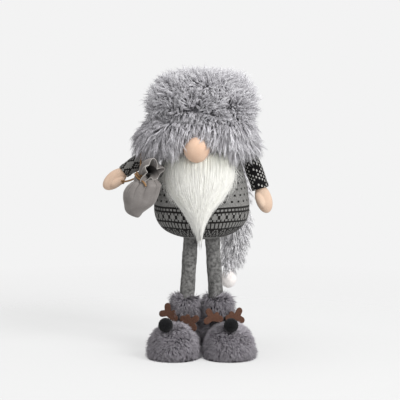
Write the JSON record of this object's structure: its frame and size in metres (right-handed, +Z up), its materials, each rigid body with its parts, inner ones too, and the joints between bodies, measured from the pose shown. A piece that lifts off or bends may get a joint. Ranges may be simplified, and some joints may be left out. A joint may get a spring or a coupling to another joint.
{
  "type": "standing christmas gnome",
  "caption": "Plush standing gnome in a tall fur hat, with a long beard, knit body, wired arms, a tied gift sack and fur slipper boots.",
  "frame": {"origin": "on the floor, in the middle of the gnome's outline seen from above", "axes": "+Z up; the gnome faces -Y; its left is at +X and its right hand, with the sack, at -X"},
  "size_m": [0.2884, 0.2224, 0.48],
  "materials": {
    "hat_fur": "long grey pile, matt with a soft sheen",
    "boot_fur": "short dense grey pile",
    "body_knit": "grey and charcoal patterned knit",
    "leg_knit": "dark grey marl knit",
    "skin_felt": "brushed peach cloth",
    "beard_fur": "long straight silky off-white pile",
    "velvet": "warm grey velvet",
    "twine": "twisted jute twine",
    "antler_felt": "stiff brown felt",
    "pompom_yarn": "clipped black yarn",
    "ball_fleece": "pale fleece",
    "sole_rubber": "matt dark foam rubber",
    "filling": "polyester wadding, hidden",
    "board": "plain fibreboard, hidden",
    "rod_steel": "plain drawn rod, hidden",
    "wire_steel": "plain soft wire, hidden",
    "pellets": "cloth bag of sand, hidden"
  },
  "bodies": {
    "root": {"torso": "body_knit", "hip_board": "board", "nose": "skin_felt", "hat_crown": "hat_fur", "hat_filling": "filling", "hat_roll": "hat_fur", "right_leg": "leg_knit", "right_leg_rod": "rod_steel", "right_boot_sole": "sole_rubber", "right_boot_upper": "boot_fur", "right_boot_roll": "boot_fur", "right_boot_pellet_bag": "pellets", "right_boot_pompom": "pompom_yarn", "right_boot_outer_antler": "antler_felt", "right_boot_inner_antler": "antler_felt", "left_leg": "leg_knit", "left_leg_rod": "rod_steel", "left_boot_sole": "sole_rubber", "left_boot_upper": "boot_fur", "left_boot_roll": "boot_fur", "left_boot_pellet_bag": "pellets", "left_boot_pompom": "pompom_yarn", "left_boot_outer_antler": "antler_felt", "left_boot_inner_antler": "antler_felt"},
    "beard": {"beard": "beard_fur"},
    "right_arm": {"right_sleeve": "body_knit", "right_hand": "skin_felt", "right_arm_wire": "wire_steel", "twine_sling": "twine", "hand_knot": "twine"},
    "sack": {"sack": "velvet", "neck_winding": "twine"},
    "left_arm": {"left_sleeve": "body_knit", "left_hand": "skin_felt", "left_arm_wire": "wire_steel"},
    "tail": {"hat_tail": "hat_fur"},
    "ball": {"tail_ball": "ball_fleece"}
  },
  "joints": [
    {"name": "beard_lift", "type": "hinge", "parent": "root", "child": "beard", "pos_m": [0.02341, -0.07803, 0.345], "axis": [-1, 0, 0], "range_deg": [0, 30]},
    {"name": "right_arm_lift", "type": "hinge", "parent": "root", "child": "right_arm", "pos_m": [-0.05649, -0.01186, 0.34], "axis": [0, 1, 0], "range_deg": [0, 25]},
    {"name": "sack_swing", "type": "hinge", "parent": "right_arm", "child": "sack", "pos_m": [-0.07859, -0.07186, 0.31], "axis": [0, 1, 0], "range_deg": [-4, 45]},
    {"name": "left_arm_lift", "type": "hinge", "parent": "root", "child": "left_arm", "pos_m": [0.10331, -0.01186, 0.34], "axis": [0, -1, 0], "range_deg": [-5, 65]},
    {"name": "tail_lift", "type": "hinge", "parent": "root", "child": "tail", "pos_m": [0.05941, 0.08374, 0.45], "axis": [1, 0, 0], "range_deg": [0, 60]},
    {"name": "ball_swing", "type": "hinge", "parent": "tail", "child": "ball", "pos_m": [0.07141, 0.09244, 0.1326], "axis": [0, 1, 0], "range_deg": [-35, 35]}
  ]
}
